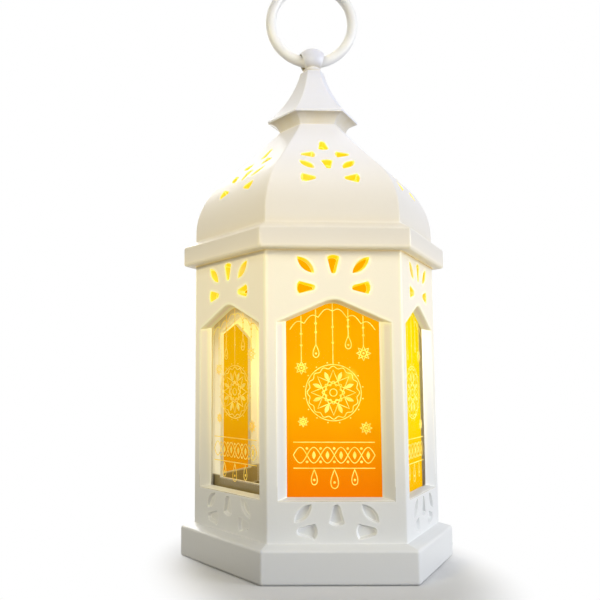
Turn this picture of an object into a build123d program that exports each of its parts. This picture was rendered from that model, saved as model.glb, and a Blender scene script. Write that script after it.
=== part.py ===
"""Six-sided lantern of the fanous kind: plinth, arched windows, ogee dome, finial and hanging ring.

The corners lie on the X axis and every 60 degrees from it, so the front face looks along -Y.
Widths called flat run from the axis to a flat side. All sizes are in millimetres.
"""
import os
from math import atan2, cos, degrees, radians, sin, tan

from build123d import *

# Plinth
plinth_flat = 30.3
plinth_side = 7.4  # height of the upright side
plinth_edge = 0.7  # rounding along its top
plinth_slope = 0.9  # rise of the sloped top
plinth_wall = 2.0
plinth_corner = 0.9  # rounding of the upright corners
deck_thickness = 2.0
deck_hole = 14.5  # radius
spigot_height = 3.6
spigot_wall = 1.6

# Body
body_step = 3.0  # set back from the plinth
body_height = 66.0  # between plinth and cornice
body_wall = 2.0
body_corner = 0.7
tongue_height = 2.5  # part of the body inside the cornice

# Windows
post_width = 2.55  # wall left beside a window
window_sill = 9.3  # above the foot of the body
window_head = 5.8  # rise of the arch
window_drop = 11.0  # its point under the cornice
jamb_splay = 2.4
sill_splay = 0.6
head_splay = 0.7
point_rounding = 5.0
window_edge = 0.4

# Petals of the body
open_drop = 8.7  # under the cornice
blind_lift = 2.5  # over the foot
blind_depth = 0.8
petal_splay = 0.4  # petals are wider outside by this on each side

# Panes and their rails
pane_thickness = 1.0
pane_lap = 1.4  # hidden behind the window's edge
film_thickness = 0.25
rail_wall = 1.0
lip_width = 1.2
backing_margin = 2.4  # of the wall behind a pane, over its window
backing_frame = 2.0  # its window is smaller than the pane's by this all round
slide_gap = 0.06

# Dome roof
cornice_step = 2.7
cornice_height = 4.9
cornice_edge = 0.7
cornice_slope = 1.6
roof_wall = 1.8
roof_corner = 0.6
drum_height = 2.1  # upright foot of the dome
bulge_radius = 19.0
shoulder_angle = 46.0
dome_rise = 30.3
neck_flat = 7.8

# Finial
eave_overhang = 2.8
eave_rise = 2.6
eave_lip = 0.5
spire_height = 13.7
spire_flat = 2.8
spire_sag = 1.1  # hollow of its sides
finial_corner = 0.4
socket_radius = 4.6
socket_depth = 3.6
web_thickness = 1.8

# Eye and ring
eye_radius = 3.4
eye_reach = 4.0  # half its length along the ring's axis, before the hole
eye_rise = 3.6  # centre of the ball above the spire
eye_hole = 2.4
ring_radius = 11.25  # centre line
ring_wire = 1.4  # radius
ring_split = 0.4

# Base, from the table up
cover_recess = 0.8
cover_thickness = 2.2
cell_radius = 10.0
cell_thickness = 3.2
door_floor = 1.4
door_rim = 0.7
lug_reach = 1.2
lug_height = 0.95
lug_angle = 24.0
notch_angle = 30.0
lock_angle = 45.0
well_wall = 1.6
contact_space = 0.8
contact_thickness = 0.25
board_thickness = 1.2

# Switch
switch_place = 0.355  # part of the way from the battery well to the corner
switch_length = 8.6
switch_width = 4.4
switch_height = 3.2
knob_length = 2.4
knob_width = 2.0
switch_travel = 2.0

# Screws
screw_radius = 0.9
head_radius = 2.1
head_height = 1.2
screw_bite = 3.2  # length in the plastic
boss_radius = 2.6

# Light
led_radius = 2.5
led_height = 6.0  # straight part
lead_radius = 0.4
chip_length = 3.2
chip_width = 1.6
chip_height = 0.6
chip_distance = 8.0
drum_wall = 1.4  # hood over the board

# Clearances
fit = 0.15  # between pieces that push together
running = 0.15  # between pieces that turn or slide

# Levels and widths that follow from these
seat = plinth_side + plinth_slope
body_flat = plinth_flat - body_step
body_inside = body_flat - body_wall
cornice_foot = seat + body_height
body_top = cornice_foot + tongue_height
cornice_flat = body_flat + cornice_step
cornice_top = cornice_foot + cornice_height
dome_foot = cornice_top + cornice_slope
spring = dome_foot + drum_height
neck = dome_foot + dome_rise
ceiling = neck - socket_depth - web_thickness
eave_flat = neck_flat + eave_overhang
eave = neck + eave_rise + eave_lip
spire_top = eave + spire_height
eye = spire_top + eye_rise
ring_axis = eye - 0.55
ring_centre = ring_axis + ring_radius

half_side = tan(radians(30))
window_half = body_flat * half_side - post_width
sill = seat + window_sill
apex = cornice_foot - window_drop
shoulder = apex - window_head
pattern = body_flat / 27.3  # scale of the petals

pane_half = window_half - jamb_splay + pane_lap
pane_foot = sill + sill_splay - pane_lap
pane_top = cornice_foot + 0.6
pane_outer = body_inside - slide_gap
film_outer = pane_outer - pane_thickness - slide_gap
rail_lip = film_outer - film_thickness - slide_gap

cover_top = cover_recess + cover_thickness
door_radius = cell_radius + running + door_rim
door_hole = door_radius + running
cell_foot = cover_recess + door_floor
cell_top = cell_foot + cell_thickness
lug_foot = cover_top + running
lug_top = lug_foot + lug_height
chamber_radius = door_radius + lug_reach + running
chamber_top = lug_top + running
chamber_roof = chamber_top + 0.8
well_side = chamber_radius + well_wall
plinth_inside = plinth_flat - plinth_wall
switch_distance = well_side + switch_place * (plinth_inside / cos(radians(30)) - well_side)
boss_distance = (well_side + plinth_inside) / 2
well_radius = cell_radius + 0.3
well_ceiling = cell_top + contact_space
board_foot = well_ceiling + 1.2
board_top = board_foot + board_thickness
board_radius = well_radius + 0.7
tail_top = board_top + 0.6
hood_top = board_top + 2.8 + drum_wall

face_angles = (0, 60, 120, 180, 240, 300)
screw_angles = (90, 210, 330)
lug_angles = (0, 120, 240)
amber_sides = (0, 1, 3, 4)  # the other two windows, opposite each other, are clear


def hex_prism(flat, bottom, top, rounding=0.0):
    """Upright six-sided bar, with rounded corners if wanted."""
    plan = RegularPolygon(flat, 6, major_radius=False)
    if rounding:
        plan = fillet(plan.vertices(), rounding)
    return extrude(Pos(0, 0, bottom) * plan, top - bottom)


def disc(radius, bottom, top, x=0.0, y=0.0):
    """Upright round bar."""
    upright = (Align.CENTER, Align.CENTER, Align.MIN)
    return Pos(x, y, bottom) * Cylinder(radius, top - bottom, align=upright)


def sector(radius, bottom, top, middle, width):
    """Slice of an upright round bar, between two angles."""
    piece = Cylinder(radius, top - bottom, width, align=(Align.NONE, Align.NONE, Align.MIN))
    return Pos(0, 0, bottom) * Rot(0, 0, middle - width / 2) * piece


def block(x0, x1, y0, y1, z0, z1):
    """Box between two corners."""
    middle = Pos((x0 + x1) / 2, (y0 + y1) / 2, (z0 + z1) / 2)
    return middle * Box(x1 - x0, y1 - y0, z1 - z0)


def round_six(shape):
    """The shape on all six faces."""
    return [Rot(0, 0, angle) * shape for angle in face_angles]


def six_sided(half):
    """Solid with six equal faces that follow half an outline, given as distance and height."""
    outline = make_face((Plane.XZ * (half + mirror(half, Plane.YZ))).edges())
    slab = extrude(outline, 2 * plinth_flat, both=True)
    return Rot(0, 0, 30) * slab & Rot(0, 0, 90) * slab & Rot(0, 0, 150) * slab


def rounded_corners(shape, radius):
    """The shape with its six upright or sloping corners rounded."""
    corners = []
    for edge in shape.edges():
        middle = edge.center()
        turn = degrees(atan2(middle.Y, middle.X)) % 60
        rise = abs((edge @ 0).Z - (edge @ 1).Z)
        if rise > 0.1 and min(turn, 60 - turn) < 0.5:
            corners.append(edge)
    return fillet(corners, radius)


def on_front(distance, height=0.0):
    """Plane of the front face at a distance from the axis: X across and Y up."""
    return Plane((0, -distance, height), x_dir=(1, 0, 0), z_dir=(0, -1, 0))


def wedge(base, tip, width, tip_width, grow):
    """Petal with straight sides from a rounded broad end to a blunt narrow one, grown all round."""
    base, tip = Vector(*base), Vector(*tip)
    along = (tip - base).normalized()
    side = Vector(-along.Y, along.X)
    broad, narrow = width / 2 + grow, tip_width / 2 + grow
    foot = base - along * grow
    heel, nose = foot - along * (broad * 0.36), tip + along * (narrow * 0.9)
    left, right = foot + side * broad, foot - side * broad
    far_left, far_right = tip + side * narrow, tip - side * narrow
    return make_face([Line(left, far_left), ThreePointArc(far_left, nose, far_right),
                      Line(far_right, right), ThreePointArc(right, heel, left)])


def leaf(start, end, width, grow):
    """Petal pointed at both ends, grown all round."""
    start, end = Vector(*start), Vector(*end)
    along = (end - start).normalized()
    start, end = start - along * grow, end + along * grow
    side = Vector(-along.Y, along.X) * (width / 2 + grow)
    middle = (start + end) / 2
    return make_face([ThreePointArc(start, middle + side, end), ThreePointArc(end, middle - side, start)])


def both_sides(petal):
    """A petal and its mirror image."""
    return [petal, mirror(petal, Plane.YZ)]


def open_fan(grow):
    """Five petals above a window, points inward."""
    petals = [wedge((0, 6.7), (0, 3.8), 2.1, 0.5, grow)]
    petals += both_sides(leaf((4.7, 3.6), (8.1, 6.9), 1.4, grow))
    petals += both_sides(wedge((7.6, 0), (4.8, 0), 2.2, 0.5, grow))
    return petals


def blind_fan(grow):
    """Five petals under a window, points outward."""
    petals = [wedge((0, 2.4), (0, 5.2), 2.8, 1.1, grow)]
    petals += both_sides(leaf((9.2, 2.4), (5.9, 5.8), 1.7, grow))
    petals += both_sides(wedge((5.3, 0.2), (8.1, 0.2), 2.6, 1.2, grow))
    return petals


def dome_fan(grow):
    """Eight petals of a dome face."""
    petals = [wedge((0, 6.3), (0, 9.2), 1.8, 0.5, grow), wedge((0, -0.4), (0, -3.2), 2.1, 0.5, grow)]
    petals += both_sides(wedge((3.4, 3.1), (5.4, 3.1), 2.2, 0.5, grow))
    petals += both_sides(leaf((3.7, -3.4), (6.4, -0.2), 1.4, grow))
    petals += both_sides(wedge((6.2, -7.0), (3.9, -7.0), 2.2, 0.5, grow))
    return petals


def petal_cutters(fan, plane, reach, depth, spread):
    """Bars that cut a fan into a face from a reach in front of it to a depth, wider outside by a spread."""
    outer, inner = fan(spread + spread / depth * reach), fan(0.0)
    front, back = plane.offset(reach), plane.offset(-depth)
    return [loft([front * scale(wide, pattern), back * scale(tight, pattern)], ruled=True)
            for wide, tight in zip(outer, inner)]


def window_outline(inset):
    """Window at a depth inside the wall: upright sides under a blunt pointed arch."""
    part = inset / body_wall
    half = window_half - jamb_splay * part
    foot = sill + sill_splay * part
    side = shoulder + (jamb_splay * window_head / window_half - head_splay) * part
    top = apex - head_splay * part
    outline = Polyline((-half, foot), (half, foot), (half, side), (0, top), (-half, side), close=True)
    face = make_face(outline.edges())
    point = face.vertices().sort_by(Axis.Y)[-1]
    return fillet(point, point_rounding)


def window_cutter():
    """Splayed opening through the front wall."""
    outer = on_front(body_flat + 0.5) * window_outline(-0.5)
    inner = on_front(body_inside - 0.5) * window_outline(body_wall + 0.5)
    return loft([outer, inner], ruled=True)


def is_window_rim(point):
    """Whether a point lies on a flat side, along the outer edge of its window."""
    normal = radians(60 * round((degrees(atan2(point.Y, point.X)) - 30) / 60) + 30)
    out = point.X * cos(normal) + point.Y * sin(normal)
    across = point.Y * cos(normal) - point.X * sin(normal)
    inside = abs(across) < window_half + 0.3 and sill - 0.1 < point.Z < apex + 0.1
    return inside and abs(out - body_flat) < 0.001


def pane_rails():
    """Slot for a pane inside the front wall: two rails, a stop and a backing with its own window."""
    outer, inner = pane_half + slide_gap + rail_wall, pane_half + slide_gap
    front, back = body_inside + 0.1, rail_lip - rail_wall
    foot = pane_foot - rail_wall
    rail = block(inner, outer, -front, -back, foot, pane_top)
    rail += block(inner - lip_width, outer, -rail_lip, -back, foot, pane_top)
    stop = block(-outer, outer, -front, -back, foot, pane_foot)
    backing = block(-outer, outer, -rail_lip, -back, foot, apex + backing_margin)
    frame = offset(window_outline(body_wall), -backing_frame)
    backing -= extrude(on_front(rail_lip + 1) * frame, -(rail_wall + 2))
    return [rail, mirror(rail, Plane.YZ), stop, backing]


def catch(flat, height):
    """Snap bead on the front of a six-sided rim."""
    return Pos(0, -flat + 0.25, height) * Rot(0, 90, 0) * Cylinder(0.55, 8.0)


def catch_slot(flat, height):
    """Slot for a snap bead."""
    return block(-4.3, 4.3, -flat - 0.5, -flat + 0.5, height - 0.8, height + 0.8)


def dome_chain(inset):
    """Ogee of a dome face from its foot to the neck, moved inward by an inset."""
    turn = radians(shoulder_angle)
    centre = Vector(body_flat - bulge_radius, spring)
    bulge = bulge_radius - inset
    start = centre + Vector(bulge, 0)
    middle = centre + Vector(cos(turn / 2), sin(turn / 2)) * bulge
    swell = centre + Vector(cos(turn), sin(turn)) * bulge
    chord = Vector(neck_flat, neck) - (centre + Vector(cos(turn), sin(turn)) * bulge_radius)
    end_angle = 2 * atan2(chord.Y, chord.X) - (turn + radians(90))
    end = Vector(neck_flat, neck) - Vector(sin(end_angle), -cos(end_angle)) * inset
    arch = TangentArc(swell, end, tangent=(-sin(turn), cos(turn)))
    return start, ThreePointArc(start, middle, swell) + arch, end


def dome_petal_plane():
    """Plane that lies on the front of the dome where its bulge ends."""
    turn = radians(shoulder_angle)
    distance = body_flat - bulge_radius * (1 - cos(turn))
    height = spring + bulge_radius * sin(turn)
    lift = 1.4  # the pattern's centre above that point, along the slope
    origin = (0, -distance + lift * sin(turn), height + lift * cos(turn))
    return Plane(origin, x_dir=(1, 0, 0), z_dir=(0, -cos(turn), sin(turn)))


def make_plinth():
    corners = [(0, 0), (plinth_flat, 0), (plinth_flat, plinth_side), (body_flat + 0.1, seat), (0, seat)]
    shape = rounded_corners(six_sided(FilletPolyline(*corners, radius=plinth_edge)), plinth_corner)
    shape -= hex_prism(plinth_inside, -1, seat - deck_thickness)
    spigot = body_inside - fit
    shape += hex_prism(spigot, seat - 0.5, seat + spigot_height)
    shape -= hex_prism(spigot - spigot_wall, seat, seat + spigot_height + 1)
    for angle in screw_angles:
        around = Rot(0, 0, angle)
        shape += around * disc(boss_radius, cover_top, seat - 0.5, boss_distance)
        shape -= around * disc(screw_radius + 0.05, cover_top - 1, seat - 0.8, boss_distance)
        shape += around * Rot(0, 0, 90) * catch(spigot, seat + spigot_height - 1.4)
    shape += disc(deck_hole + drum_wall, seat - 0.5, hood_top)
    shape -= disc(deck_hole, -1, hood_top - drum_wall)
    return shape - disc(led_radius + 0.2, seat, hood_top + 1)


def make_body():
    shape = hex_prism(body_flat, seat, body_top, body_corner)
    shape -= hex_prism(body_inside, seat - 1, body_top + 1)
    shape -= round_six(window_cutter())
    for rail in pane_rails():
        shape += round_six(rail)
    rims = [edge for edge in shape.edges() if all(is_window_rim(edge @ place) for place in (0, 0.5, 1))]
    shape = fillet(rims, window_edge)
    high, low = on_front(body_flat, cornice_foot - open_drop), on_front(body_flat, seat + blind_lift)
    cuts = petal_cutters(open_fan, high, 0.3, body_wall + 0.03, petal_splay)
    cuts += petal_cutters(blind_fan, low, 0.3, blind_depth, petal_splay)
    for cut in cuts:
        shape -= round_six(cut)
    for angle in screw_angles:
        around = Rot(0, 0, angle + 90)
        shape -= around * catch_slot(body_inside, seat + spigot_height - 1.4)
        shape += around * catch(body_flat, cornice_foot + 1.3)
    return shape


def make_pane():
    return block(-pane_half, pane_half, -pane_outer, -pane_outer + pane_thickness, pane_foot, pane_top)


def make_film():
    return block(-pane_half, pane_half, -film_outer, -film_outer + film_thickness, pane_foot, pane_top)


def make_roof():
    start, ogee, end = dome_chain(0)
    corners = [(0, cornice_foot), (cornice_flat, cornice_foot), (cornice_flat, cornice_top),
               (body_flat, dome_foot)]
    half = FilletPolyline(*corners, start, radius=cornice_edge) + ogee + Line(end, (0, neck))
    shape = rounded_corners(six_sided(half), roof_corner)
    start, ogee, end = dome_chain(roof_wall)
    half = Line((0, body_top), (start.X, body_top)) + Line((start.X, body_top), start)
    half += ogee + Line(end, (0, end.Y))
    shape -= six_sided(half) & hex_prism(plinth_flat, body_top, ceiling)
    shape -= hex_prism(body_flat + fit, cornice_foot - 1, body_top)
    inner = body_inside - fit
    rim = hex_prism(inner, pane_top + 0.2, body_top) + hex_prism(body_flat, body_top, body_top + 1.2)
    shape += rim - hex_prism(inner - 1.8, pane_top, body_top + 2)
    for cut in petal_cutters(dome_fan, dome_petal_plane(), 2.0, 2.5 * roof_wall, petal_splay):
        shape -= round_six(cut)
    for angle in screw_angles:
        shape -= Rot(0, 0, angle + 90) * catch_slot(body_flat + fit, cornice_foot + 1.3)
    shape -= disc(socket_radius, neck - socket_depth, neck + 1)
    return shape - disc(screw_radius + 0.2, ceiling - 1, neck)


def make_finial():
    foot = Vector(neck_flat, neck)
    lip = Vector(eave_flat, neck + eave_rise)
    top = Vector(spire_flat, spire_top)
    brim = Vector(eave_flat, eave)
    slope = (top - brim).normalized()
    sag = (brim + top) / 2 - Vector(slope.Y, -slope.X) * spire_sag
    half = Line((0, neck), foot) + TangentArc(foot, lip, tangent=(0.25, 1)) + Line(lip, brim)
    half += ThreePointArc(brim, sag, top) + Line(top, (0, spire_top))
    shape = rounded_corners(six_sided(half), finial_corner)
    shape += disc(eye_radius * 0.7, spire_top - 0.5, eye)
    bead = Ellipse(eye_reach, eye_radius) & Pos(0, eye_radius) * Rectangle(3 * eye_reach, 2 * eye_radius)
    shape += Pos(0, 0, eye) * revolve(Plane.XZ * bead, Axis.X)
    shape -= Pos(0, 0, ring_axis) * Rot(0, 90, 0) * Cylinder(eye_hole, 4 * eye_reach)
    shape += disc(socket_radius - 0.05, neck - socket_depth, neck + 0.5)
    return shape - disc(screw_radius + 0.05, neck - socket_depth - 1, eave + 2)


def make_ring():
    ring = Pos(0, 0, ring_centre) * Rot(90, 0, 0) * Torus(ring_radius, ring_wire)
    top = ring_centre + ring_radius
    return ring - block(-ring_split / 2, ring_split / 2, -5, 5, top - 3, top + 3)


def make_screw(under_head, length):
    """Upright screw with its head below."""
    head = chamfer(disc(head_radius, under_head - head_height, under_head).edges().sort_by(Axis.Z)[0], 0.4)
    shank = disc(screw_radius, under_head - 0.2, under_head + length)
    tip = shank.edges().sort_by(Axis.Z)[-1]
    cross = block(-1.2, 1.2, -0.2, 0.2, under_head - head_height - 1, under_head - head_height + 0.6)
    return head + chamfer(tip, 0.4) - cross - Rot(0, 0, 90) * cross


def make_cover():
    """Hexagonal bottom cover with the battery well on it."""
    shape = hex_prism(plinth_inside - fit, cover_recess, cover_top, 0.5)
    shape += disc(well_side, cover_top - 0.5, chamber_roof)
    shape += disc(well_radius + well_wall, chamber_top, board_foot)
    shape -= disc(door_hole, cover_recess - 1, chamber_top)
    shape -= disc(well_radius, chamber_top - 0.5, well_ceiling)
    for angle in lug_angles:
        shape -= sector(chamber_radius, cover_recess - 1, cover_top + 0.5, angle, notch_angle)
        swing = lock_angle + notch_angle
        shape -= sector(chamber_radius, cover_top, chamber_top, angle + lock_angle / 2, swing)
    for angle in screw_angles:
        around = Rot(0, 0, angle)
        head_top = cover_recess + head_height
        shape -= around * disc(head_radius + fit, cover_recess - 1, head_top, boss_distance)
        shape -= around * disc(screw_radius + fit, cover_recess, cover_top + 1, boss_distance)
    reach = (knob_length + switch_travel) / 2 + running
    side = knob_width / 2 + running
    near, far = switch_distance - side, switch_distance + side
    shape -= block(near, far, -reach, reach, cover_recess - 1, cover_top + 1)
    for slot in contact_slots(chamber_top, board_foot + 1):
        shape -= slot
    for x in (-4.0, 4.0):
        shape += disc(0.8, board_foot - 0.5, board_top + 0.5, x, -7.0)
    return shape


def contact_slots(bottom, top):
    """Ways for the contacts' tails, one beside the cell and one over it."""
    gap = 0.12
    side = cell_radius + 0.02
    rim = block(-1.5 - gap, 1.5 + gap, side - gap, side + contact_thickness + gap, bottom, top)
    over = block(-8.0 - contact_thickness - gap, -8.0 + gap, -2.0 - gap, 2.0 + gap, well_ceiling - 0.1, top)
    return [rim, over]


def make_door():
    """Round battery door: a cup with three lugs and a coin slot."""
    shape = disc(door_radius, cover_recess, lug_top) - disc(cell_radius + running, cell_foot, lug_top + 1)
    lugs = disc(door_radius + lug_reach, lug_foot, lug_top)
    lugs -= disc(door_radius - 0.3, lug_foot - 1, lug_top + 1)
    for angle in lug_angles:
        shape += lugs & sector(2 * door_radius, 0, 2 * lug_top, angle + lock_angle, lug_angle)
    coin_slot = block(-7.0, 7.0, -0.8, 0.8, cover_recess - 1, cover_recess + 0.7)
    return shape - coin_slot


def make_cell():
    """Coin cell: a can with a smaller cap on top."""
    can = disc(cell_radius, cell_foot, cell_top - 0.4)
    can = chamfer(can.edges().filter_by(GeomType.CIRCLE), 0.25)
    return can + disc(cell_radius - 1.2, cell_top - 0.5, cell_top)


def make_contact_below():
    """Leaf that presses on the cell's cap, with a tail through the board."""
    low, thick = well_ceiling - contact_thickness, contact_thickness
    points = [(-8 - thick, tail_top), (-8 - thick, low), (-3.5, low), (0.5, cell_top), (2, cell_top),
              (2, cell_top + thick), (0.6, cell_top + thick), (-3.4, well_ceiling), (-8, well_ceiling),
              (-8, tail_top)]
    profile = make_face((Plane.XZ * Polyline(*points, close=True)).edges())
    return extrude(profile, 2.0, both=True)


def make_contact_beside():
    """Strip against the rim of the cell, with its tail through the board."""
    side = cell_radius + 0.02
    return block(-1.5, 1.5, side, side + contact_thickness, chamber_top + 0.2, tail_top)


def make_board():
    shape = disc(board_radius, board_foot, board_top)
    for slot in contact_slots(board_foot - 1, board_top + 1):
        shape -= slot
    for x in (-4.0, 4.0):
        shape -= disc(0.9, board_foot - 1, board_top + 1, x, -7.0)
    for x in (-1.27, 1.27):
        shape -= disc(0.5, board_foot - 1, board_top + 1, x)
    return shape


def make_resistor():
    chip = Pos(0, -chip_distance, board_top + chip_height / 2) * Box(chip_length, chip_width, chip_height)
    return Rot(0, 0, 60) * fillet(chip.edges().filter_by(Axis.Z), 0.2)


def make_led():
    """Round lamp with a collar and two legs through the board."""
    height = board_top + led_height
    shape = disc(led_radius + 0.4, board_top, board_top + 1.0) + disc(led_radius, board_top, height)
    shape += Pos(0, 0, height) * Sphere(led_radius)
    for x in (-1.27, 1.27):
        shape += disc(0.3, board_foot + 0.1, board_top + 0.5, x)
    return shape


def make_switch():
    """Switch housing with a hollow for the knob's foot."""
    half_x, half_y = switch_width / 2, switch_length / 2
    foot = cover_top
    shape = block(-half_x, half_x, -half_y, half_y, foot, foot + switch_height)
    shape = fillet(shape.edges().filter_by(Axis.Z), 0.3)
    reach = (knob_length + switch_travel) / 2 + 0.6 + running
    side = knob_width / 2 + 0.6 + running
    shape -= block(-side, side, -reach, reach, foot - 1, foot + 1.6)
    return Pos(switch_distance, 0, 0) * shape


def make_knob():
    """Slide knob: a ribbed grip under the cover and a wider foot over it."""
    half_x, half_y = knob_width / 2, knob_length / 2
    grip = block(-half_x, half_x, -half_y, half_y, 0.25, cover_top + 0.3)
    for y in (-0.6, 0.0, 0.6):
        grip -= block(-3, 3, y - 0.12, y + 0.12, 0, 0.45)
    foot = cover_top + 0.1
    grip += block(-half_x - 0.6, half_x + 0.6, -half_y - 0.6, half_y + 0.6, foot, foot + 1.3)
    return Pos(switch_distance, switch_travel / 2, 0) * grip


def make_lead(y):
    """Wire from the switch up beside the battery well and over on to the board."""
    start = switch_distance - switch_width / 2
    rise = (well_radius + well_wall + deck_hole) / 2
    low, high = (chamber_roof + seat - deck_thickness) / 2, board_top + 1.6
    land = board_radius - 1.6
    places = [(start, y, low), (rise, y, low), (rise, y, high), (land, y, high), (land, y, board_top)]
    path = FilletPolyline(*places, radius=0.9)
    section = Plane((start, y, low), z_dir=(-1, 0, 0)) * Circle(lead_radius)
    return sweep(section, path)


nodes = {
    "hanging_ring": make_ring(),
    "finial_cap": make_finial(),
    "finial_screw": make_screw(ceiling, socket_depth + web_thickness + screw_bite),
    "dome_roof": make_roof(),
    "lantern_body": make_body(),
    "base_plinth": make_plinth(),
    "bottom_cover": make_cover(),
    "battery_door": make_door(),
    "coin_cell": make_cell(),
    "cell_contact_top": make_contact_below(),
    "cell_contact_side": make_contact_beside(),
    "circuit_board": make_board(),
    "resistor": make_resistor(),
    "led_lamp": make_led(),
    "switch_housing": make_switch(),
    "switch_knob": make_knob(),
    "switch_lead_red": make_lead(1.5),
    "switch_lead_black": make_lead(-1.5),
}

screw_seat = cover_recess + head_height
cover_screw = make_screw(screw_seat, cover_top - screw_seat + screw_bite)
nodes["cover_screws"] = Compound(
    [Rot(0, 0, angle) * Pos(boss_distance, 0, 0) * cover_screw for angle in screw_angles]
)

sides = ("front", "front_right", "back_right", "back", "back_left", "front_left")
for side, angle in zip(sides, face_angles):
    nodes["window_pane_" + side] = Rot(0, 0, angle) * make_pane()
for place in amber_sides:
    nodes["amber_film_" + sides[place]] = Rot(0, 0, face_angles[place]) * make_film()

os.makedirs("parts", exist_ok=True)
for name, shape in nodes.items():
    export_step(shape, "parts/" + name + ".step")
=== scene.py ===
import math

import bpy
import numpy as np
from mathutils import Matrix, Vector


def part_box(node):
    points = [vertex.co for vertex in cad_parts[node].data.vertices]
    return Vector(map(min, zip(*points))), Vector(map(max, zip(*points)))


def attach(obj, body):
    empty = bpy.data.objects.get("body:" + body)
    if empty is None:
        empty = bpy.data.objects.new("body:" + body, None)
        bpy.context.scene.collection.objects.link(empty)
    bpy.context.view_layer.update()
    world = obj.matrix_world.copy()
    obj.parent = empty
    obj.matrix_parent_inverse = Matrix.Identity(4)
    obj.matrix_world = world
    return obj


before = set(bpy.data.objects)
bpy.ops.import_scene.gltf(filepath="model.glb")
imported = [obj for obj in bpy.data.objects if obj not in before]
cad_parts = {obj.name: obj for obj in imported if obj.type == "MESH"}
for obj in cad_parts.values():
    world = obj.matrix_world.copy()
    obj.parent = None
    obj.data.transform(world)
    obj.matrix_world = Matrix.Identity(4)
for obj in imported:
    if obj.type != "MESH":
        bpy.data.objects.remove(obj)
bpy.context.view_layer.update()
print("lantern loaded:", len(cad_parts), "pieces")

mm = 0.001
noLight = (0, 0, 0, 1)

# Camera: the eye in metres, then heading, pitch and roll in degrees
view = {
    "eye": (-0.03258, -0.20132, 0.04339),
    "heading": -1.385,
    "pitch": 6.264,
    "roll": 0.218,
    "lens": 46.04,
    "sensor": 36.0,
    "shiftX": 0.15,
    "nearest": 0.01,
}


def addPiece(name, data):
    piece = bpy.data.objects.new(name, data)
    bpy.context.collection.objects.link(piece)
    return piece


def addCamera():
    data = bpy.data.cameras.new("camera")
    data.lens = view["lens"]
    data.sensor_width = view["sensor"]
    data.shift_x = view["shiftX"]
    data.clip_start = view["nearest"]
    camera = addPiece("camera", data)
    turn = Matrix.Rotation(math.radians(view["heading"]), 4, "Z")
    lift = Matrix.Rotation(math.radians(90 + view["pitch"]), 4, "X")
    spin = Matrix.Rotation(math.radians(view["roll"]), 4, "Z")
    camera.matrix_world = Matrix.Translation(view["eye"]) @ turn @ lift @ spin
    bpy.context.scene.camera = camera


# Node helpers: a value that is a socket gets linked, any other is set
def feed(tree, socket, value):
    if isinstance(value, bpy.types.NodeSocket):
        tree.links.new(value, socket)
    else:
        socket.default_value = value


def put(tree, kind, feeds=(), **setup):
    node = tree.nodes.new("ShaderNode" + kind)
    for name, value in setup.items():
        setattr(node, name, value)
    for key, value in dict(feeds).items():
        feed(tree, node.inputs[key], value)
    return node


def calc(tree, operation, *values):
    return put(tree, "Math", enumerate(values), operation=operation).outputs[0]


def remap(tree, value, low, high, first=0.0, last=1.0):
    feeds = {0: value, 1: low, 2: high, 3: first, 4: last}
    return put(tree, "MapRange", feeds, interpolation_type="SMOOTHSTEP").outputs[0]


def mixColour(tree, factor, first, second):
    feeds = {0: factor, 6: first, 7: second}
    return put(tree, "Mix", feeds, data_type="RGBA").outputs[2]


def objectPlace(tree):
    return put(tree, "TexCoord").outputs["Object"]


def upPart(tree, vector):
    return put(tree, "SeparateXYZ", {0: vector}).outputs["Z"]


def dotPart(tree, first, second):
    return put(tree, "VectorMath", {0: first, 1: second}, operation="DOT_PRODUCT").outputs["Value"]


def newGroup(name, inputs, outputs):
    group = bpy.data.node_groups.new(name, "ShaderNodeTree")
    for label, value in inputs.items():
        kind = "NodeSocketFloat" if isinstance(value, float) else "NodeSocketVector"
        group.interface.new_socket(label, in_out="INPUT", socket_type=kind).default_value = value
    for label in outputs:
        group.interface.new_socket(label, in_out="OUTPUT", socket_type="NodeSocketFloat")
    given = group.nodes.new("NodeGroupInput").outputs
    return group, given, group.nodes.new("NodeGroupOutput").inputs


def place(tree, group, feeds):
    node = put(tree, "Group")
    node.node_tree = group
    for label, value in feeds.items():
        feed(tree, node.inputs[label], value)
    return node.outputs


# Shared effects: detail of their noises, samples, and where each mask starts and is full
effects = {
    "fineDetail": 2.0,
    "broadDetail": 3.0,
    "clouds": (0.3, 0.7),
    "edgeSamples": 4,
    "edge": (0.995, 0.9),  # cosine between the rounded normal and the face's own
    "creviceSamples": 6,
    "speckScale": 300.0,
    "speck": (0.2, 0.8, 0.75, 1.0),  # range of the noise, then of what is left of a crevice
}


def addNoise(tree, spot, scale, detail):
    return put(tree, "TexNoise", {"Vector": spot, "Scale": scale, "Detail": detail}).outputs[0]


# Fine grain for bump and broad clouds for colour, from two noises
def makeGrain():
    inputs = {"Vector": (0, 0, 0), "Grain": 2400.0, "Cloud": 60.0}
    tree, given, out = newGroup("mouldGrain", inputs, ("Height", "Clouds"))
    fine = addNoise(tree, given["Vector"], given["Grain"], effects["fineDetail"])
    broad = addNoise(tree, given["Vector"], given["Cloud"], effects["broadDetail"])
    feed(tree, out["Height"], fine)
    feed(tree, out["Clouds"], remap(tree, broad, *effects["clouds"]))
    return tree


# Edges: where a rounded normal leaves the face's own normal
def makeEdge():
    tree, given, out = newGroup("edgeWearAndLight", {"Radius": 0.0004}, ("Edge",))
    soft = put(tree, "Bevel", {"Radius": given["Radius"]}, samples=effects["edgeSamples"])
    plain = put(tree, "NewGeometry")
    turn = dotPart(tree, soft.outputs[0], plain.outputs["Normal"])
    feed(tree, out["Edge"], remap(tree, turn, *effects["edge"]))
    return tree


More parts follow.
